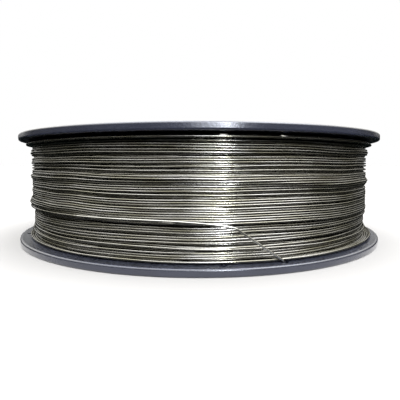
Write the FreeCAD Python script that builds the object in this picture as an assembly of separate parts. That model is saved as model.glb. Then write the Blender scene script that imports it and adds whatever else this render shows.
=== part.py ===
"""Plastic spool of 200 mm class, wound with 0.9 mm flux-cored welding wire.

The spool lies on one flange: +Z is the spool's axis, z = 0 is the floor, and the
origin is the centre of the lower face. An azimuth is counted from the front (-Y)
towards the right (+X). Lengths are in millimetres and angles in degrees.
"""

import FreeCAD, Part
import math
import os

Vector = FreeCAD.Vector
UP = Vector(0, 0, 1)

# ---- spool: overall sizes ------------------------------------------------------
flange_diameter = 200.0
spool_width = 55.0
flange_web = 2.0            # thickness of the flange's plate
rim_width = 2.4             # radial width of the raised band round the flange
rim_edge_radius = 0.8       # rounding of the rim's two outer corners
flange_margin = 5.8         # how far the flanges stand proud of the winding

# ---- spool: hub ----------------------------------------------------------------
bore_diameter = 51.0        # slips over a 50 mm spindle
bore_chamfer = 0.8
bore_wall = 2.5
drive_circle_radius = 44.5  # spindle axis to driving hole
drive_hole_diameter = 10.5
drive_hole_wall = 2.25
barrel_wall = 2.5
joint_web = 2.0             # plate that closes each half at the middle of the hub
root_fillet = 1.5           # barrel to flange

# ---- spool: ribs, locating pegs and wire anchor holes ----------------------------
rib_count = 12
rib_thickness = 2.0
hub_rib_inset = 2.5         # hub ribs stop this far below the outer face
flange_rib_inset = 0.3
peg_diameter = 6.0
peg_clearance = 0.1
anchor_pair_count = 4
anchor_hole_diameter = 2.8  # for the ends of the wire
anchor_pair_half_angle = 7.2
anchor_offset = 1.6         # from the winding's side to the hole centres

# ---- wire ------------------------------------------------------------------------
wire_diameter = 0.9
hook_clearance = 0.15       # above and below the hooked end, under the flange
winding_clearance = 0.2     # winding to barrel
winding_edge = 1.0          # the winding's two outer edges are rounded off
wire_clearance = 0.05       # wire end to winding

# ---- worked out from the sizes above ---------------------------------------------
flange_radius = flange_diameter / 2
rim_inner_radius = flange_radius - rim_width
wire_radius = wire_diameter / 2
recess_depth = wire_diameter + 2 * hook_clearance
flange_height = flange_web + recess_depth
middle = spool_width / 2
winding_radius = flange_radius - flange_margin
anchor_radius = winding_radius + anchor_offset
bore_radius = bore_diameter / 2
tube_radius = bore_radius + bore_wall
drive_hole_radius = drive_hole_diameter / 2
barrel_radius = drive_circle_radius + drive_hole_radius + drive_hole_wall
barrel_inner_radius = barrel_radius - barrel_wall
peg_circle_radius = (tube_radius + barrel_inner_radius) / 2


def place(radius, azimuth, height):
    """Point at a radius from the spool's axis, an azimuth and a height."""
    angle = math.radians(azimuth)
    return Vector(radius * math.sin(angle), -radius * math.cos(angle), height)


def turned(edges):
    """Solid of one turn about the spool's axis, from the edges of a closed (r, z) profile."""
    face = Part.Face(Part.Wire(Part.__sortEdges__(edges)))
    return face.revolve(Vector(0, 0, 0), UP, 360)


def outline(corners):
    """Edges of a closed profile. A corner is (r, z), or (r, z, radius) to round it."""
    points = [Vector(c[0], 0, c[1]) for c in corners]
    radii = [c[2] if len(c) == 3 else 0 for c in corners]
    starts, ends, edges = [], [], []
    for i, point in enumerate(points):
        to_last = (points[i - 1] - point).normalize()
        to_next = (points[(i + 1) % len(points)] - point).normalize()
        half_turn = to_last.getAngle(to_next) / 2
        cut = radii[i] / math.tan(half_turn)
        starts.append(point + to_last * cut)
        ends.append(point + to_next * cut)
        if radii[i]:
            bisector = (to_last + to_next).normalize()
            centre = point + bisector * (radii[i] / math.sin(half_turn))
            crown = centre - bisector * radii[i]
            edges.append(Part.Arc(starts[i], crown, ends[i]).toShape())
    for i in range(len(points)):
        following = (i + 1) % len(points)
        edges.append(Part.makeLine(ends[i], starts[following]))
    return edges


def radial_rib(azimuth, inner, outer, low, high):
    """Upright rib that runs outwards from the spool's axis."""
    corner = Vector(-rib_thickness / 2, -outer, low)
    rib = Part.makeBox(rib_thickness, outer - inner, high - low, corner)
    rib.rotate(Vector(0, 0, 0), UP, azimuth)
    return rib


def pin(radius, azimuth, circle_radius, low, high):
    """Upright cylinder that stands on a circle round the spool's axis."""
    return Part.makeCylinder(radius, high - low, place(circle_radius, azimuth, low), UP)


def half_body():
    """Flange, barrel, bore tube and joint web of the lower half, turned in one piece."""
    return turned(outline([
        (bore_radius, middle),
        (barrel_radius, middle),
        (barrel_radius, flange_height, root_fillet),
        (flange_radius, flange_height, rim_edge_radius),
        (flange_radius, 0, rim_edge_radius),
        (rim_inner_radius, 0),
        (rim_inner_radius, recess_depth),
        (barrel_radius, recess_depth),
        (barrel_radius, 0),
        (barrel_inner_radius, 0),
        (barrel_inner_radius, middle - joint_web),
        (tube_radius, middle - joint_web),
        (tube_radius, 0),
        (bore_radius + bore_chamfer, 0),
        (bore_radius, bore_chamfer),
    ]))


def half_ribs():
    """Ribs across the hub's hollow, and low ribs across the flange's recess."""
    overlap = rib_thickness / 2
    ribs = []
    for i in range(rib_count):
        azimuth = i * 360 / rib_count
        ribs.append(radial_rib(azimuth, tube_radius - overlap, barrel_inner_radius + overlap,
                               hub_rib_inset, middle - joint_web / 2))
        ribs.append(radial_rib(azimuth, barrel_radius - overlap, rim_inner_radius + overlap,
                               flange_rib_inset, recess_depth + flange_web / 2))
    return ribs


def spool_half():
    """Lower half of the spool. Turned over about the Y axis, the same moulding is the upper half."""
    drive_azimuth = 180
    step = 360 / rib_count
    pegs, holes = [], []
    for i in range(rib_count):
        azimuth = (i + 0.5) * step
        if i % 2 == 0:
            pegs.append(pin(peg_diameter / 2, azimuth, peg_circle_radius,
                            middle - joint_web / 2, middle + joint_web))
        else:
            holes.append(pin(peg_diameter / 2 + peg_clearance, azimuth, peg_circle_radius,
                             middle - 2 * joint_web, middle + joint_web))
    for i in range(anchor_pair_count):
        for side in (-1, 1):
            azimuth = i * 360 / anchor_pair_count + side * anchor_pair_half_angle
            holes.append(pin(anchor_hole_diameter / 2, azimuth, anchor_radius,
                             0, flange_height + wire_diameter))
    boss = pin(drive_hole_radius + drive_hole_wall, drive_azimuth, drive_circle_radius, 0, middle)
    holes.append(pin(drive_hole_radius, drive_azimuth, drive_circle_radius, -1, middle + 1))
    solid = half_body().multiFuse(half_ribs() + [boss] + pegs)
    return solid.cut(Part.makeCompound(holes)).removeSplitter()


def turned_over(shape):
    """The moulding turned over end for end, so that it meets the lower half at the middle."""
    upper = shape.copy()
    upper.rotate(Vector(0, 0, middle), Vector(0, 1, 0), 180)
    return upper


def winding():
    """All the wound layers as one ring that fills the barrel between the flanges."""
    low, high = flange_height, spool_width - flange_height
    inner = barrel_radius + winding_clearance
    return turned(outline([
        (inner, low, root_fillet),
        (winding_radius, low, winding_edge),
        (winding_radius, high, winding_edge),
        (inner, high, root_fillet),
    ]))


def rounded_path(points):
    """Straight runs through the points, joined by arcs as large as the shorter run allows."""
    edges, here = [], points[0]
    radii = []
    for last, corner, following in zip(points, points[1:], points[2:]):
        to_last, to_next = last - corner, following - corner
        tangent = 0.45 * min(to_last.Length, to_next.Length)
        to_last.normalize()
        to_next.normalize()
        half_angle = to_last.getAngle(to_next) / 2
        radius = tangent * math.tan(half_angle)
        bisector = (to_last + to_next).normalize()
        crown = corner + bisector * (radius / math.sin(half_angle) - radius)
        start, end = corner + to_last * tangent, corner + to_next * tangent
        edges.append(Part.makeLine(here, start))
        edges.append(Part.Arc(start, crown, end).toShape())
        radii.append(round(radius, 2))
        here = end
    edges.append(Part.makeLine(here, points[-1]))
    print("wire end: bend radii", radii, "mm")
    return Part.Wire(edges)


def wire_end_route():
    """Points of the last turn's end: along the winding, off it in a bow, down a hole and hooked.

    A bow point is (azimuth, distance from the winding, height above the flange)."""
    on_winding = wire_radius + wire_clearance
    bow = [
        (-44.0, on_winding + 0.25, 16.6),
        (-37.0, on_winding + 0.25, 16.5),
        (-30.0, on_winding + 0.25, 16.4),
        (-23.5, on_winding + 0.30, 16.2),
        (-17.5, on_winding + 0.55, 15.9),
        (-12.0, on_winding + 1.30, 15.4),
        (-7.6, on_winding + 2.10, 14.8),
        (-5.0, on_winding + 2.40, 13.9),
    ]
    above_hole = 0.6
    lean_angle = 0.45
    hook_height = recess_depth / 2
    hook_angle = 5.5
    points = [place(winding_radius + off, azimuth, flange_height + up) for azimuth, off, up in bow]
    points.append(place(anchor_radius, anchor_pair_half_angle - lean_angle, flange_height + above_hole))
    points.append(place(anchor_radius, anchor_pair_half_angle, hook_height))
    points.append(place(anchor_radius, anchor_pair_half_angle - hook_angle, hook_height))
    return points


def wire_end():
    """The end of the wire, as a round bar along its route."""
    path = rounded_path(wire_end_route())
    first = path.Edges[0]
    section = Part.Wire(Part.makeCircle(wire_radius, first.Vertexes[0].Point, first.tangentAt(0)))
    bar = path.makePipeShell([section], True, True)
    expected = math.pi * wire_radius ** 2 * path.Length
    print(f"wire end: {path.Length:.1f} mm long, volume {bar.Volume:.2f} of {expected:.2f} mm3")
    return bar


def main():
    lower = spool_half()
    parts = {
        "spool_half_lower": lower,
        "spool_half_upper": turned_over(lower),
        "wire_winding": winding(),
        "wire_end": wire_end(),
    }
    os.makedirs("parts", exist_ok=True)
    for name, shape in parts.items():
        solids = shape.Solids
        print(name, len(solids), "solid", round(shape.Volume), "mm3", "valid", shape.isValid())
        solids[0].exportStep(f"parts/{name}.step")


main()
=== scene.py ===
# %% [markdown]
# # A full spool of flux-cored welding wire
#
# A spool of welding wire is a plastic reel that holds a single wire, laid turn beside turn and
# layer over layer. The spool's two moulded halves come from the CAD model and keep their shape
# here. What Blender adds is the wire, laid the way a winding machine lays it, and the finish of
# each surface.
#
# Lengths are worked out in millimetres and put into meshes in metres. An azimuth is counted
# from the front of the spool (-Y) towards the right (+X), in degrees.

import math

import bpy
import numpy as np
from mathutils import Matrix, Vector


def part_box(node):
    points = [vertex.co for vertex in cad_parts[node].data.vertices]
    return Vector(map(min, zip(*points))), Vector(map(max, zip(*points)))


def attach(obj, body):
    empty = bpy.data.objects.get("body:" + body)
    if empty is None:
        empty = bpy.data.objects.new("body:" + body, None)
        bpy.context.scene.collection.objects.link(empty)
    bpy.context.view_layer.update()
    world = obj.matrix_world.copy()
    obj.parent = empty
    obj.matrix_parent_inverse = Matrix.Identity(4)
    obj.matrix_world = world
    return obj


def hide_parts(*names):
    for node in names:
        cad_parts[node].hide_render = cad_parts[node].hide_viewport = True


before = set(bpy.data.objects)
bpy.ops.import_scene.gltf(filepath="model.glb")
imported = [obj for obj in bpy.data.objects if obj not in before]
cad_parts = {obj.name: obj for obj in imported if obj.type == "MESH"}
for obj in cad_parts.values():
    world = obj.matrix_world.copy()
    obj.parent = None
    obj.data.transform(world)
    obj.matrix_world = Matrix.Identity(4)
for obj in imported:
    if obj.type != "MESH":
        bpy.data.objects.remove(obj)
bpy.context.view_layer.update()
MM = 0.001

# %% [markdown]
# ## Sizes
#
# The room between the flanges and the size of the spool are read from the CAD parts, so a change of
# those in the CAD model carries over. The wire's gauge, the barrel's radius, the place of the
# anchor hole and the way the wire is laid are stated in this script instead, and have to be
# changed here too.

# %% Sizes read from the CAD parts
winding_low, winding_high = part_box("wire_winding")
WINDING_BOTTOM = winding_low.z / MM
WINDING_TOP = winding_high.z / MM
WINDING_RADIUS = winding_high.x / MM
SPOOL_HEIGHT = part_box("spool_half_upper")[1].z / MM
SPOOL_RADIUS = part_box("spool_half_lower")[1].x / MM
WIRE_DIAMETER = 0.9
WIRE_RADIUS = WIRE_DIAMETER / 2
BARREL_RADIUS = 52.2
print(f"winding: z {WINDING_BOTTOM:.2f} to {WINDING_TOP:.2f} mm, radius {WINDING_RADIUS:.2f} mm")

# %% [markdown]
# ## Camera
#
# The camera stands a little more than a spool's diameter away and looks almost level, so both
# flanges are seen edge on and bow in opposite directions. It stands a little to the left of the
# pair of anchor holes, which therefore sit right of the middle of the view.

# %% Camera
VIEW_AZIMUTH = -12.6
VIEW_DISTANCE = 226.46
VIEW_HEIGHT = 39.67
VIEW_PITCH = 2.52
LENS = 32.954

camera_data = bpy.data.cameras.new("camera")
camera_data.lens = LENS
camera_data.sensor_width = 36.0
camera_data.shift_x = 0.0023
camera_data.shift_y = -0.0472
camera_data.clip_start = 0.01
camera_data.clip_end = 20.0
camera = bpy.data.objects.new("camera", camera_data)
bpy.context.scene.collection.objects.link(camera)
view_turn = math.radians(VIEW_AZIMUTH)
camera.location = (
    VIEW_DISTANCE * math.sin(view_turn) * MM,
    -VIEW_DISTANCE * math.cos(view_turn) * MM,
    VIEW_HEIGHT * MM,
)
camera.rotation_euler = (math.radians(90 - VIEW_PITCH), 0, view_turn)
bpy.context.scene.camera = camera
print("camera at", [round(c, 4) for c in camera.location])

# %% [markdown]
# ## Mesh helpers
#
# Each new piece is one of two kinds of surface, worked out with whole numpy arrays: a profile
# turned about the spool's axis, or a round section carried along a path. Both are grids, so one
# function can turn a grid of points into a mesh.


# %% Grid of points to mesh
def add_mesh(name, points, quads, caps=()):
    """Object at the origin from points in millimetres, quads and end faces, all smooth."""
    mesh = bpy.data.meshes.new(name)
    faces = [tuple(cap) for cap in caps]
    mesh.from_pydata((points * MM).tolist(), [], quads.tolist() + faces)
    mesh.shade_smooth()
    mesh.update()
    piece = bpy.data.objects.new(name, mesh)
    bpy.context.scene.collection.objects.link(piece)
    return piece


def grid_quads(rows, columns, close_rows):
    """Quads that join each row of a grid to the next. Columns run round a closed ring; rows
    close too where close_rows is true."""
    last = rows if close_rows else rows - 1
    row = np.arange(last)[:, None]
    column = np.arange(columns)[None, :]
    here = row * columns + column
    beside = row * columns + (column + 1) % columns
    above = ((row + 1) % rows) * columns + column
    diagonal = ((row + 1) % rows) * columns + (column + 1) % columns
    return np.stack([here, above, diagonal, beside], axis=-1).reshape(-1, 4)


# %% Round section along a path round the axis
def wire_tube(name, azimuth, radius, height, sides, gauge):
    """Wire that runs round the spool's axis. Its centre line is at the given azimuth (radians),
    radius and height, sample by sample. The section is a circle in the plane of the radius and
    the axis: radius + g cos a outwards and height + g sin a upwards, for a round the circle."""
    turn = np.arange(sides) * 2 * np.pi / sides
    out = radius[:, None] + gauge * np.cos(turn)[None, :]
    up = height[:, None] + gauge * np.sin(turn)[None, :]
    x = out * np.sin(azimuth)[:, None]
    y = -out * np.cos(azimuth)[:, None]
    points = np.stack([x, y, up], axis=-1).reshape(-1, 3)
    rows = len(azimuth)
    quads = grid_quads(rows, sides, False)
    first = list(range(sides))
    last = list(range((rows - 1) * sides, rows * sides))
    piece = add_mesh(name, points, quads, [first, last[::-1]])
    step = np.hypot(np.diff(azimuth) * radius[1:], np.diff(height))
    along = np.concatenate([[0.0], np.cumsum(step)])
    attribute = piece.data.attributes.new("along", "FLOAT", "POINT")
    attribute.data.foreach_set("value", np.repeat(along, sides).astype(np.float32))
    print(f"{name}: {along[-1] / 1000:.1f} m of wire, {2 * len(quads)} triangles")
    return piece


# %% [markdown]
# ## Laying the wire
#
# A winding machine guides the wire up to one flange and back down to the other. Each turn leans
# on the one before it, so its small swerves are passed on to its neighbours and fade slowly;
# here and there it leaves a gap, or strays back over the turns already laid. How far turn t has
# travelled from its flange at azimuth a is therefore worked out from the turn before it:
#
#     swerve(t) = memory * swerve(t - 1) + fresh swerve,  or more, where turn t would
#     otherwise come closer to turn t - 1 than the least gap
#
# A turn can still come closer than that in three places: where it strays, where it joins on to
# the end of the turn before it, and at a flange, where it is held back to the room there is.
#
# How far out a turn lies follows from what is under it. Two round wires of diameter d whose
# centres are dz apart in height touch when the upper one is sqrt(d*d - dz*dz) further out, so
# every turn takes the largest such radius over the turns laid before it. It is then smoothed,
# because a stiff wire bridges hollows.

# %% How the wire is laid
SAMPLES = 288               # samples in each turn
PITCH = 0.99                # advance of a turn, in millimetres like all lengths here
MIN_GAP = 0.905             # least distance between neighbours that lie side by side
BOTTOM_ROOM = 0.55          # what the guide leaves free at the lower flange
TOP_ROOM = 1.5              # and at the upper one
MEMORY = 0.92               # share of a turn's swerve that the next one takes over
WAVES = np.arange(1, 15)    # waves to a turn in a fresh swerve
WAVE_SIZE = 0.10            # scale of the random size of each wave
GAP_SHARE = 0.48            # chance that a turn leaves a gap before it
GAP_SIZE = (0.3, 1.2)
GAP_WIDTH = (0.45, 1.6)     # in radians
STRAY_SHARE = 0.22          # chance that a turn wanders back over its neighbours
STRAY_SIZE = (0.9, 2.8)
STRAY_WIDTH = (0.35, 0.9)   # in radians
STRAY_REST = 3              # turns after a stray one that can't stray
STEP_IN = 0.9               # angle (radians) in which a turn joins the height of the one before
SETTLE_IN = 0.5             # and its radius
BRIDGING = (12, 8)          # widths, in samples, over which the stiff wire bridges hollows
SETTLING = 6                # width over which it follows what is under it
CORE_RADIUS = 91.25         # outside of the layers that never show
LAST_LAYER_EDGE = 21.2      # height at which the unfinished last layer stops
END_HEIGHT = 19.3           # height at which the wire leaves the winding
END_AZIMUTH = -44.0         # where the last turn is taken over by the wire end, in degrees
SINK_MARGIN = 8             # samples left level before and after the last turn's descent
SEED = 20

rng = np.random.default_rng(SEED)
turn_angle = np.arange(SAMPLES) * 2 * np.pi / SAMPLES
low = WINDING_BOTTOM + BOTTOM_ROOM
high = WINDING_TOP - TOP_ROOM
room = high - low


def fresh_swerve():
    """Smooth curve round one turn: a sum of waves with random sizes and phases."""
    size = rng.normal(size=WAVES.size) * WAVE_SIZE / np.sqrt(WAVES)
    phase = rng.uniform(0, 2 * np.pi, WAVES.size)
    return size @ np.sin(WAVES[:, None] * turn_angle[None, :] + phase[:, None])


def bell(size, narrow, wide):
    """Bell-shaped bump at a random place round one turn, with a random width in radians."""
    away = np.angle(np.exp(1j * (turn_angle - rng.uniform(0, 2 * np.pi))))
    return size * np.exp(-0.5 * (away / rng.uniform(narrow, wide)) ** 2)


def travel(turns):
    """Distance of each turn from the flange it started at, as an array of turns by samples."""
    swerve, arrival, laid, strayed = np.zeros(SAMPLES), None, [], 0
    step_in = np.clip(1 - turn_angle / STEP_IN, 0, 1) ** 2
    for turn in range(turns):
        closest = swerve - (PITCH - MIN_GAP)
        swerve = np.maximum(MEMORY * swerve + fresh_swerve(), closest)
        if rng.uniform() < GAP_SHARE:
            swerve = swerve + bell(rng.uniform(*GAP_SIZE), *GAP_WIDTH)
        travelled = PITCH * (turn + turn_angle / (2 * np.pi)) + swerve
        if turn > strayed + STRAY_REST and rng.uniform() < STRAY_SHARE:
            travelled = travelled - bell(rng.uniform(*STRAY_SIZE), *STRAY_WIDTH)
            strayed = turn
        if arrival is not None:
            travelled = travelled + (arrival - travelled[0]) * step_in
        travelled = np.clip(travelled, 0.0, room)
        arrival = 2 * travelled[-1] - travelled[-2]
        laid.append(travelled)
    return np.array(laid)


def smoothed(values, width):
    """Values round one turn, averaged with a bell of the given width in samples."""
    offset = np.arange(-3 * width, 3 * width + 1)
    weight = np.exp(-0.5 * (offset / width) ** 2)
    padded = np.concatenate([values[-3 * width:], values, values[:3 * width]])
    return np.convolve(padded, weight / weight.sum(), mode="valid")


def rest_on(height, under_height, under_radius):
    """Radius at which a turn rests on the turns under it, with its hollows bridged."""
    apart = np.abs(under_height - height[None, :])
    reach = np.sqrt(np.clip(WIRE_DIAMETER ** 2 - apart ** 2, 0, None))
    touching = np.where(apart < WIRE_DIAMETER, under_radius + reach, 0.0).max(axis=0, initial=0.0)
    support = np.maximum(touching, CORE_RADIUS + WIRE_RADIUS)
    bridged = support
    for width in BRIDGING:
        bridged = smoothed(np.maximum(support, bridged), width)
    return np.maximum(bridged, smoothed(support, SETTLING))


# %% Three layers: down, up, and down again to where the wire ends
full_layer = int(room / PITCH)
last_layer = int((high - LAST_LAYER_EDGE) / PITCH)
layer_heights = [high - travel(full_layer), low + travel(full_layer), high - travel(last_layer)]
end_sample = int(round((END_AZIMUTH + 180) / 360 * SAMPLES))
sink = np.clip((np.arange(SAMPLES) - SINK_MARGIN) / (end_sample - 2 * SINK_MARGIN), 0, 1)
sink = sink * sink * (3 - 2 * sink)
last_turn = layer_heights[2][-1][-1] * (1 - sink) + END_HEIGHT * sink
layer_heights[2] = np.vstack([layer_heights[2], last_turn])

heights, radii, layer_of = np.zeros((0, SAMPLES)), np.zeros((0, SAMPLES)), []
for layer, turns in enumerate(layer_heights):
    for height in turns:
        under = slice(max(0, len(heights) - 2 * full_layer), None)
        radius = rest_on(height, heights[under], radii[under])
        if len(radii):
            step_in = np.clip(1 - turn_angle / SETTLE_IN, 0, 1) ** 2
            radius = radius + (radii[-1][-1] - radius[0]) * step_in
        heights, radii = np.vstack([heights, height]), np.vstack([radii, radius])
        layer_of.append(layer)
layer_of = np.array(layer_of)
for layer in range(len(layer_heights)):
    laid = radii[layer_of == layer]
    print(f"layer {layer}: {len(laid)} turns, centre radius {laid.min():.2f} to {laid.max():.2f} mm,"
          f" mean {laid.mean():.2f}")

# %% Wire layers as meshes
LAYER_SIDES = (5, 6, 8)     # sides of the wire's section: fewer where a layer is mostly hidden
wire_layers = []
for layer, sides in enumerate(LAYER_SIDES):
    chosen = layer_of == layer
    azimuth = np.arange(chosen.sum())[:, None] * 2 * np.pi + turn_angle[None, :] + math.pi
    kept = azimuth.size if layer < 2 else azimuth.size - SAMPLES + end_sample + 1
    piece = wire_tube(f"wound_wire_{layer + 1}", azimuth.ravel()[:kept], radii[chosen].ravel()[:kept],
                      heights[chosen].ravel()[:kept], sides, WIRE_RADIUS)
    wire_layers.append(piece)

# %% [markdown]
# ## The end of the wire
#
# The end has to be caught, or the winding springs loose. It leaves the winding in a short bow,
# runs straight down to a hole near the flange's rim, goes through it and is bent over beneath.
# The flange and the winding hold it at both ends, so it is not a free cord, but it is made the
# same way: a NURBS curve with a few given control points, and a round section along it. The
# first points are those of the last turn, so that the wire is unbroken.

# %% Wire end
HOLE_RADIUS = 95.8
HOLE_AZIMUTH = 7.2
LEAD_IN_AZIMUTHS = (END_AZIMUTH, -42.0, -37.0, -31.0, -25.0)
# Each stop below is an azimuth in degrees, a radius and a height.
ALONG_WINDING = [(-17.5, 95.0, 19.1), (-12.0, 96.0, 18.6), (-8.4, 96.65, 18.1)]
BEND = (-5.0, 97.1, 17.2)
ABOVE_HOLE = (HOLE_AZIMUTH - 0.45, HOLE_RADIUS, 3.75)
HOOK = [(HOLE_AZIMUTH - 0.1, HOLE_RADIUS, 1.9), (HOLE_AZIMUTH - 0.2, HOLE_RADIUS, 0.75),
        (HOLE_AZIMUTH - 1.2, HOLE_RADIUS, 0.6), (HOLE_AZIMUTH - 5.5, HOLE_RADIUS, 0.6)]
STRAIGHT_SHARES = (0.0, 0.1, 0.5, 0.94, 1.0)    # places of the points from bend to hole
WIRE_END_STEPS = 10
WIRE_END_SIDES = 12
print("wire end starts from the last turn at sample", end_sample)


def place(azimuth, radius, height):
    """Point at an azimuth in degrees, a radius and a height in millimetres."""
    angle = math.radians(azimuth)
    return (radius * math.sin(angle), -radius * math.cos(angle), height)


lead_in = []
for azimuth in LEAD_IN_AZIMUTHS:
    sample = int(round((azimuth + 180) / 360 * SAMPLES))
    lead_in.append((azimuth, radii[-1][sample], heights[-1][sample]))
bend, above_hole = np.array(place(*BEND)), np.array(place(*ABOVE_HOLE))
straight = [tuple(bend + (above_hole - bend) * share) for share in STRAIGHT_SHARES]
route = [place(*stop) for stop in lead_in + ALONG_WINDING] + straight + [place(*stop) for stop in HOOK]


def smooth_line(points, steps):
    """Points along a NURBS curve that has the given points (mm) as its control points."""
    curve = bpy.data.curves.new("route", "CURVE")
    curve.dimensions = "3D"
    curve.resolution_u = steps
    spline = curve.splines.new("NURBS")
    spline.points.add(len(points) - 1)
    for knot, point in zip(spline.points, points):
        knot.co = (*(c * MM for c in point), 1)
    spline.order_u = 3
    spline.use_endpoint_u = True
    holder = bpy.data.objects.new("route", curve)
    bpy.context.scene.collection.objects.link(holder)
    line = bpy.data.meshes.new_from_object(holder)
    found = np.array([v.co for v in line.vertices]) / MM
    bpy.data.objects.remove(holder)
    bpy.data.meshes.remove(line)
    return found


def round_bar(name, line, sides, gauge):
    """Round section along any line of points (mm): the circle lies across the line, spanned by
    the direction away from the spool's axis and its cross product with the line."""
    ahead = np.gradient(line, axis=0)
    ahead /= np.linalg.norm(ahead, axis=1)[:, None]
    outward = line * [1, 1, 0]
    outward /= np.linalg.norm(outward, axis=1)[:, None]
    outward -= (outward * ahead).sum(axis=1)[:, None] * ahead
    outward /= np.linalg.norm(outward, axis=1)[:, None]
    sideways = np.cross(ahead, outward)
    turn = np.arange(sides) * 2 * np.pi / sides
    ring = outward[:, None] * np.cos(turn)[None, :, None] + sideways[:, None] * np.sin(turn)[None, :, None]
    points = (line[:, None] + gauge * ring).reshape(-1, 3)
    rows = len(line)
    quads = grid_quads(rows, sides, False)[:, ::-1]
    first = list(range(sides))
    last = list(range((rows - 1) * sides, rows * sides))
    piece = add_mesh(name, points, quads, [first[::-1], last])
    along = np.concatenate([[0.0], np.cumsum(np.linalg.norm(np.diff(line, axis=0), axis=1))])
    attribute = piece.data.attributes.new("along", "FLOAT", "POINT")
    attribute.data.foreach_set("value", np.repeat(along, sides).astype(np.float32))
    print(f"{name}: {along[-1]:.1f} mm long, {2 * len(quads)} triangles")
    return piece


wire_end_line = smooth_line(route, WIRE_END_STEPS)
wire_end = round_bar("wire_end_hooked", wire_end_line, WIRE_END_SIDES, WIRE_RADIUS)

# %% [markdown]
# ## The layers inside
#
# Between the turns one can look a little way into the winding. What is down there is a plain
# ring, turned from one profile: straight where it sits on the barrel and the flanges, and with
# one half-round ridge for every hidden turn on the outside,
#
#     radius(z) = core radius - wire radius * (1 - |sin(pi z / ridge height)|)

# %% Core
RIDGE_POINTS = 6
CORE_STEPS = 144


def turned_ring(name, profile, steps):
    """Closed profile of (radius, height) points, turned once about the axis."""
    angle = np.arange(steps) * 2 * np.pi / steps
    x = profile[None, :, 0] * np.sin(angle)[:, None]
    y = -profile[None, :, 0] * np.cos(angle)[:, None]
    z = np.broadcast_to(profile[None, :, 1], x.shape)
    points = np.stack([x, y, z], axis=-1).reshape(-1, 3)
    return add_mesh(name, points, grid_quads(steps, len(profile), True))


ridges = int((WINDING_TOP - WINDING_BOTTOM) / PITCH)
ridge_height = (WINDING_TOP - WINDING_BOTTOM) / ridges
risen = np.arange(ridges * RIDGE_POINTS) * ridge_height / RIDGE_POINTS
ripple = WIRE_RADIUS * (1 - np.abs(np.sin(np.pi * risen / ridge_height)))
outside = np.stack([CORE_RADIUS - ripple, WINDING_BOTTOM + risen], axis=-1)
inside = [
    [CORE_RADIUS - WIRE_RADIUS, WINDING_TOP],
    [BARREL_RADIUS, WINDING_TOP],
    [BARREL_RADIUS, WINDING_BOTTOM],
]
core = turned_ring("wire_core", np.concatenate([outside, inside]), CORE_STEPS)
print("core:", len(core.data.polygons) * 2, "triangles")

# %% [markdown]
# ## Shared effects
#
# Two effects belong to more than one material, so each is a node group with its own inputs:
# *specks*, the pale dust that settles on everything in a workshop, and *cloudiness*, the slow
# change of tone that no real surface is without. The groups only put out masks. The shaders
# stay in the materials.


# %% Node helpers
def group(name, inputs, outputs):
    """New shader node group with float inputs (name: default) and float outputs."""
    tree = bpy.data.node_groups.new(name, "ShaderNodeTree")
    for label, default in inputs.items():
        socket = tree.interface.new_socket(label, in_out="INPUT", socket_type="NodeSocketFloat")
        socket.default_value = default
    for label in outputs:
        tree.interface.new_socket(label, in_out="OUTPUT", socket_type="NodeSocketFloat")
    return tree, tree.nodes.new("NodeGroupInput"), tree.nodes.new("NodeGroupOutput")


def node(tree, kind, **settings):
    """New node. A setting named as a property sets it; any other sets the input of that name."""
    made = tree.nodes.new(kind)
    for label, value in settings.items():
        if hasattr(made, label):
            setattr(made, label, value)
    for label, value in settings.items():
        if not hasattr(made, label):
            made.inputs[label.replace("_", " ")].default_value = value
    return made


def maths(tree, operation, first, second=None, third=None):
    """Math node whose inputs are numbers or the sockets they come from."""
    made = tree.nodes.new("ShaderNodeMath")
    made.operation = operation
    for index, value in enumerate((first, second, third)):
        if isinstance(value, (int, float)):
            made.inputs[index].default_value = value
        elif value is not None:
            tree.links.new(value, made.inputs[index])
    return made.outputs[0]


def spread(tree, value, low_in, high_in, low_out, high_out):
    """Value carried from one range to another, and kept inside it."""
    made = tree.nodes.new("ShaderNodeMapRange")
    tree.links.new(value, made.inputs["Value"])
    limits = {"From Min": low_in, "From Max": high_in, "To Min": low_out, "To Max": high_out}
    for label, number in limits.items():
        made.inputs[label].default_value = number
    return made.outputs["Result"]


def blend_colours(tree, share, first, second):
    """Colour between two others, by a share from 0 to 1. A colour may be a socket."""
    made = tree.nodes.new("ShaderNodeMix")
    made.data_type = "RGBA"
    tree.links.new(share, made.inputs["Factor"])
    for label, colour in (("A", first), ("B", second)):
        socket = [s for s in made.inputs if s.name == label and s.type == "RGBA"][0]
        if isinstance(colour, tuple):
            socket.default_value = (*colour, 1)
        else:
            tree.links.new(colour, socket)
    return [s for s in made.outputs if s.type == "RGBA"][0]


# %% Specks
specks, specks_in, specks_out = group("specks", {"Per millimetre": 1.6, "Amount": 0.2}, ["Mask"])
where = specks.nodes.new("ShaderNodeTexCoord")
cells = node(specks, "ShaderNodeTexVoronoi", feature="F1")
specks.links.new(where.outputs["Object"], cells.inputs["Vector"])
per_metre = maths(specks, "MULTIPLY", specks_in.outputs["Per millimetre"], 1 / MM)
specks.links.new(per_metre, cells.inputs["Scale"])
near = spread(specks, cells.outputs["Distance"], 0.10, 0.26, 1.0, 0.0)
pick = node(specks, "ShaderNodeSeparateColor")
specks.links.new(cells.outputs["Color"], pick.inputs["Color"])
chosen_cells = maths(specks, "LESS_THAN", pick.outputs["Red"], specks_in.outputs["Amount"])
specks.links.new(maths(specks, "MULTIPLY", near, chosen_cells), specks_out.inputs["Mask"])
print("group", specks.name, "with", len(specks.nodes), "nodes")

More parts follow.
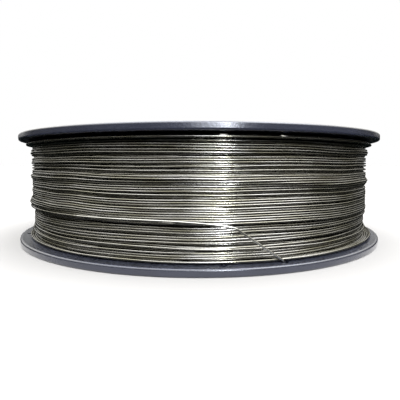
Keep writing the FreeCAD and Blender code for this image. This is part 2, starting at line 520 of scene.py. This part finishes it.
# %% Cloudiness
clouds, clouds_in, clouds_out = group("cloudiness", {"Size in mm": 20.0, "Detail": 3.0}, ["Tone"])
where = clouds.nodes.new("ShaderNodeTexCoord")
drift = node(clouds, "ShaderNodeTexNoise", Roughness=0.6)
clouds.links.new(where.outputs["Object"], drift.inputs["Vector"])
clouds.links.new(maths(clouds, "DIVIDE", 1 / MM, clouds_in.outputs["Size in mm"]), drift.inputs["Scale"])
clouds.links.new(clouds_in.outputs["Detail"], drift.inputs["Detail"])
clouds.links.new(spread(clouds, drift.outputs["Fac"], 0.3, 0.7, 0.0, 1.0), clouds_out.inputs["Tone"])
print("group", clouds.name, "with", len(clouds.nodes), "nodes")


# %% Material helper
def new_material(name):
    """Empty material: its tree, its Principled BSDF, and a function that places a group."""
    material = bpy.data.materials.new(name)
    material.use_nodes = True
    tree = material.node_tree
    shader = tree.nodes["Principled BSDF"]

    def place_group(which, **values):
        made = tree.nodes.new("ShaderNodeGroup")
        made.node_tree = which
        for label, value in values.items():
            made.inputs[label.replace("_", " ")].default_value = value
        return made.outputs[0]

    return material, tree, shader, place_group


# %% [markdown]
# ## Steel wire
#
# Flux-cored wire is a thin steel strip folded round a powder and drawn to size, so it is not
# polished: a dull film of drawing compound gives it an olive cast, and stretches that glint are
# where the film was wiped off. That follows the wire and not space, so it reads the *along*
# attribute, the distance from the wire's start. The wire end gets a lighter copy of the same
# steel, a painted highlight. Whatever lies deep in the winding sees no light and is painted
# nearly black, as shade.


# %% Wire material
def steel_material(name, bright, dull, roughness):
    """Wire of the given colours where it is wiped clean and where it is filmed over."""
    material, tree, shader, place_group = new_material(name)
    along = node(tree, "ShaderNodeAttribute", attribute_name="along").outputs["Fac"]

    def lengthwise(millimetres, offset):
        noise = node(tree, "ShaderNodeTexNoise", noise_dimensions="1D", Scale=1.0, Detail=2.0)
        tree.links.new(maths(tree, "MULTIPLY_ADD", along, 1.0 / millimetres, offset), noise.inputs["W"])
        return noise.outputs["Fac"]

    wiped = spread(tree, lengthwise(26.0, 3.0), 0.35, 0.65, 0.0, 1.0)
    film = place_group(clouds, Size_in_mm=24.0, Detail=4.0)
    clean = maths(tree, "MULTIPLY_ADD", wiped, 0.65, maths(tree, "MULTIPLY", film, 0.35))
    colour = blend_colours(tree, clean, dull, bright)
    dust = place_group(specks, Per_millimetre=0.7, Amount=0.04)
    colour = blend_colours(tree, maths(tree, "MULTIPLY", dust, 0.35), colour, (0.62, 0.60, 0.55))
    tree.links.new(colour, shader.inputs["Base Color"])
    glint = lengthwise(9.0, 11.0)
    dullness = spread(tree, glint, 0.3, 0.7, roughness - 0.06, roughness + 0.08)
    tree.links.new(dullness, shader.inputs["Roughness"])
    shader.inputs["Metallic"].default_value = 1.0
    return material


steel = steel_material("drawn_steel", (0.375, 0.372, 0.370), (0.19, 0.183, 0.138), 0.20)
# Nearly black copy of the steel for the layers deep inside: painted shade.
painted_shade_steel = steel_material("painted_shade_steel", (0.030, 0.029, 0.026), (0.012, 0.012, 0.010), 0.5)
# A lighter copy of the wire's steel for the wire end: a painted highlight.
painted_highlight_steel = steel_material("painted_highlight_steel", (0.70, 0.70, 0.69), (0.40, 0.40, 0.37), 0.16)
wire_end.data.materials.append(painted_highlight_steel)
for piece in wire_layers:
    piece.data.materials.append(steel)
for piece in wire_layers + [wire_end]:
    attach(piece, "root")
core.data.materials.append(painted_shade_steel)
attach(core, "root")
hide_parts("wire_winding")
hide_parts("wire_end")

# %% [markdown]
# ## Moulded plastic
#
# The spool is moulded from dark blue-black plastic. Its mould was spark-eroded, so the flat
# faces have a fine leathery grain that breaks reflections into sparkles, while the rounded rim,
# rubbed in every box and feeder, is smoother and takes a thin coat of gloss. The grain is cells
# and noise together, used as the height of a Bump node, and its low parts are painted nearly
# black as shade. Dust specks settle where the surface looks up, and faces that look up are
# painted lighter: a film of dust together with painted light.


# %% Plastic material
def plastic_material():
    """Dark plastic with a leathery grain, smoother and glossier round the rim."""
    material, tree, shader, place_group = new_material("moulded_plastic")
    where = tree.nodes.new("ShaderNodeTexCoord").outputs["Object"]
    parts = tree.nodes.new("ShaderNodeSeparateXYZ")
    tree.links.new(where, parts.inputs["Vector"])
    radius = maths(tree, "SQRT", maths(tree, "ADD", maths(tree, "POWER", parts.outputs["X"], 2.0),
                                       maths(tree, "POWER", parts.outputs["Y"], 2.0)))
    rim = spread(tree, radius, (SPOOL_RADIUS - 1.1) * MM, (SPOOL_RADIUS - 0.3) * MM, 0.0, 1.0)
    tone = place_group(clouds, Size_in_mm=14.0, Detail=4.0)
    colour = blend_colours(tree, tone, (0.0070, 0.0085, 0.0160), (0.0150, 0.0175, 0.0310))
    colour = blend_colours(tree, maths(tree, "MULTIPLY", rim, 0.5), colour, (0.024, 0.026, 0.040))
    # Faces that look up are made lighter: a film of dust together with painted light.
    facing = tree.nodes.new("ShaderNodeSeparateXYZ")
    tree.links.new(tree.nodes.new("ShaderNodeNewGeometry").outputs["Normal"], facing.inputs["Vector"])
    looks_up = spread(tree, facing.outputs["Z"], 0.6, 0.95, 0.0, 1.0)
    upward_dust_and_light = maths(tree, "MULTIPLY", looks_up, maths(tree, "MULTIPLY_ADD", tone, 0.5, 0.25))
    colour = blend_colours(tree, upward_dust_and_light, colour, (0.058, 0.064, 0.094))
    grain = node(tree, "ShaderNodeTexNoise", Scale=1300.0, Detail=3.0)
    tree.links.new(where, grain.inputs["Vector"])
    # The low parts of the grain are darkened nearly black: painted shade in its pits.
    raised = maths(tree, "MAXIMUM", spread(tree, grain.outputs["Fac"], 0.42, 0.60, 0.0, 1.0), rim)
    colour = blend_colours(tree, raised, (0.002, 0.0025, 0.005), colour)
    dust = place_group(specks, Per_millimetre=2.0, Amount=0.38)
    dust_share = maths(tree, "MULTIPLY", dust, maths(tree, "MULTIPLY_ADD", looks_up, 0.26, 0.03))
    colour = blend_colours(tree, dust_share, colour, (0.42, 0.43, 0.46))
    tree.links.new(colour, shader.inputs["Base Color"])
    leather = node(tree, "ShaderNodeTexVoronoi", feature="SMOOTH_F1", Scale=1100.0)
    tree.links.new(where, leather.inputs["Vector"])
    relief = maths(tree, "MULTIPLY_ADD", grain.outputs["Fac"], 0.7, leather.outputs["Distance"])
    height = maths(tree, "MULTIPLY", relief, maths(tree, "MULTIPLY_ADD", rim, -0.75, 1.0))
    bump = node(tree, "ShaderNodeBump", Strength=1.0, Distance=0.00022)
    tree.links.new(height, bump.inputs["Height"])
    tree.links.new(bump.outputs["Normal"], shader.inputs["Normal"])
    dull = spread(tree, tone, 0.0, 1.0, 0.25, 0.35)
    tree.links.new(maths(tree, "MULTIPLY_ADD", rim, -0.06, dull), shader.inputs["Roughness"])
    shader.inputs["Specular IOR Level"].default_value = 0.6
    tree.links.new(rim, shader.inputs["Coat Weight"])
    shader.inputs["Coat Roughness"].default_value = 0.22
    shader.inputs["Specular Tint"].default_value = (0.82, 0.86, 1.0, 1)
    return material


plastic = plastic_material()
for half in ("spool_half_lower", "spool_half_upper"):
    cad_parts[half].data.materials.clear()
    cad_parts[half].data.materials.append(plastic)
print("plastic material has", len(plastic.node_tree.nodes), "nodes")

# %% [markdown]
# ## Floor and light
#
# The spool lies on a plain pale floor in a bright room. Metal shows what stands round it, so
# the surroundings matter more than the lamps: the sky of the room is bright overhead and dim at
# eye level, which leaves a light line along the top of each turn and a dark one between the
# turns. For the same reason the floor is dark in reflections that see it from more than one or
# two centimetres away. A narrow and a wide soft box in front make the bright band down the middle of
# the winding, and those at the side and behind keep its flanks from going dull.

# %% Floor
FLOOR_REACH = 40            # half the floor's side, in metres
FLOOR_COLOUR = (0.35, 0.347, 0.351)
FLOOR_REFLECTED = (0.002, 0.003, 0.003)
REFLECTION_FADE = (0.009, 0.024)    # lengths in metres over which a reflection of it goes dark

corners = [(x * FLOOR_REACH, y * FLOOR_REACH, 0) for x, y in ((-1, -1), (1, -1), (1, 1), (-1, 1))]
floor_mesh = bpy.data.meshes.new("floor")
floor_mesh.from_pydata(corners, [], [(0, 1, 2, 3)])
floor = bpy.data.objects.new("floor", floor_mesh)
bpy.context.scene.collection.objects.link(floor)
floor_material = bpy.data.materials.new("pale_floor")
floor_material.use_nodes = True
floor_shader = floor_material.node_tree.nodes["Principled BSDF"]
floor_shader.inputs["Roughness"].default_value = 0.9
floor_shader.inputs["Specular IOR Level"].default_value = 0.0
floor.data.materials.append(floor_material)
rays = floor_material.node_tree.nodes.new("ShaderNodeLightPath")
tree = floor_material.node_tree
far_off = spread(tree, rays.outputs["Ray Length"], *REFLECTION_FADE, 0.0, 1.0)
dark = maths(tree, "MULTIPLY", far_off, rays.outputs["Is Glossy Ray"])
floor_colour = blend_colours(tree, dark, FLOOR_COLOUR, FLOOR_REFLECTED)
tree.links.new(floor_colour, floor_shader.inputs["Base Color"])

# %% Room light
world = bpy.data.worlds.new("room")
bpy.context.scene.world = world
world.use_nodes = True
tree = world.node_tree
direction = tree.nodes.new("ShaderNodeTexCoord").outputs["Generated"]
parts = tree.nodes.new("ShaderNodeSeparateXYZ")
tree.links.new(direction, parts.inputs["Vector"])
ramp = tree.nodes.new("ShaderNodeValToRGB")
tree.links.new(spread(tree, parts.outputs["Z"], -1.0, 1.0, 0.0, 1.0), ramp.inputs["Fac"])
# The sky's brightness by height: 0 is straight down, 0.5 level and 1 overhead.
stops = [
    (0.00, (0.01, 0.01, 0.01)),
    (0.50, (0.01, 0.01, 0.01)),
    (0.55, (0.05, 0.048, 0.04)),
    (0.66, (0.52, 0.50, 0.42)),
    (0.80, (2.5, 2.45, 2.25)),
    (1.00, (5.6, 5.6, 5.6)),
]
while len(ramp.color_ramp.elements) < len(stops):
    ramp.color_ramp.elements.new(0.5)
for element, (position, colour) in zip(ramp.color_ramp.elements, stops):
    element.position = position
    element.color = (*colour, 1)
seen = tree.nodes.new("ShaderNodeLightPath").outputs["Is Camera Ray"]
room_colour = blend_colours(tree, seen, ramp.outputs["Color"], (1.0, 1.0, 1.0))
tree.links.new(room_colour, tree.nodes["Background"].inputs["Color"])


# %% Lamps
def soft_box(name, azimuth, distance, height, width, tall, power, colour):
    """Rectangular lamp at an azimuth (degrees) and distance (m), aimed at the spool's middle."""
    data = bpy.data.lights.new(name, "AREA")
    data.shape = "RECTANGLE"
    data.size = width
    data.size_y = tall
    data.energy = power
    data.color = colour
    lamp = bpy.data.objects.new(name, data)
    bpy.context.scene.collection.objects.link(lamp)
    angle = math.radians(azimuth)
    rise = height - SPOOL_HEIGHT * MM / 2
    lamp.location = (distance * math.sin(angle), -distance * math.cos(angle), height)
    lamp.rotation_euler = (math.pi / 2 - math.atan2(rise, distance), 0, angle)
    lamp.visible_camera = False
    return lamp


# name, azimuth from the view, distance, height, width, tall, power in watts, colour
LAMPS = [
    ("front_box", 15, 1.5, 0.55, 0.12, 0.9, 14, (0.93, 0.96, 1.0)),
    ("fill_box", 7, 1.5, 0.55, 0.50, 0.9, 7, (0.95, 0.97, 1.0)),
    ("side_box", 60, 0.9, 1.2, 1.1, 1.1, 10, (1, 1, 1)),
    ("rear_left_box", -135, 1.5, 0.6, 0.7, 0.9, 1.4, (1, 1, 1)),
    ("rear_right_box", 140, 1.5, 0.6, 0.7, 0.9, 0.8, (1, 1, 1)),
]
for name, from_view, *rest in LAMPS:
    soft_box(name, VIEW_AZIMUTH + from_view, *rest)

bpy.context.scene.view_settings.view_transform = "Standard"
